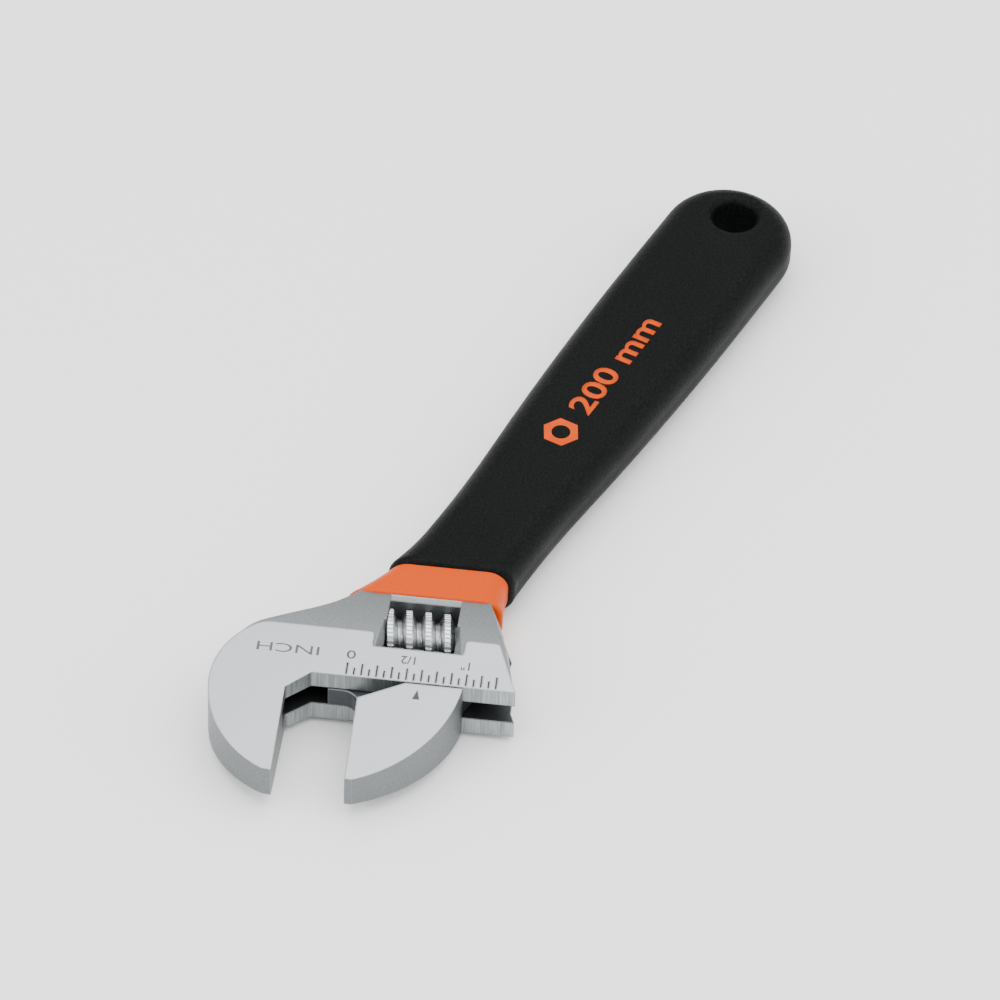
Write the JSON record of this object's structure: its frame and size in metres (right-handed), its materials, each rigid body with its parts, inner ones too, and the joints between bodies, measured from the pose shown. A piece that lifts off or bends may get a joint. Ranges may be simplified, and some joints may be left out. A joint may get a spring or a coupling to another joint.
{
  "type": "adjustable wrench",
  "caption": "Adjustable wrench with a fixed jaw, a sliding jaw driven by a thumb worm, an opening scale and a two-layer dipped grip with a hanging hole.",
  "frame": {"origin": "axis of the hanging hole, half way through the handle's thickness", "axes": "+X runs along the handle from the hanging hole to the head, +Z is the side with the opening scale, +Y completes a right-handed frame"},
  "size_m": [0.2095, 0.0609, 0.0168],
  "materials": {
    "forged_steel": "satin nickel-chrome plate, raised faces polished",
    "jaw_steel": "satin nickel-chrome plate",
    "worm_steel": "turned and plated, knurled crest",
    "pin_steel": "turned steel",
    "spring_steel": "drawn wire",
    "orange_vinyl": "smooth satin vinyl",
    "black_vinyl": "matte vinyl with a fine grain"
  },
  "bodies": {
    "wrench": {"frame_body": "forged_steel", "worm_pin": "pin_steel", "worm_spring": "spring_steel", "inner_sleeve": "orange_vinyl", "outer_grip": "black_vinyl"},
    "jaw": {"movable_jaw": "jaw_steel"},
    "worm": {"adjusting_worm": "worm_steel"}
  },
  "joints": [
    {"name": "jaw_slide", "type": "slide", "parent": "wrench", "child": "jaw", "axis": [-0.3907, 0.9205, 0], "range_m": [-0.0154, 0.0131]},
    {"name": "worm_turn", "type": "hinge", "parent": "wrench", "child": "worm", "pos_m": [0.14637, 0.00233, 0], "axis": [-0.3907, 0.9205, 0], "range_deg": [-1151, 1353]}
  ],
  "couplings": [
    {"joint": "worm_turn", "follows": "jaw_slide", "rad_per_m": -1532.5}
  ]
}
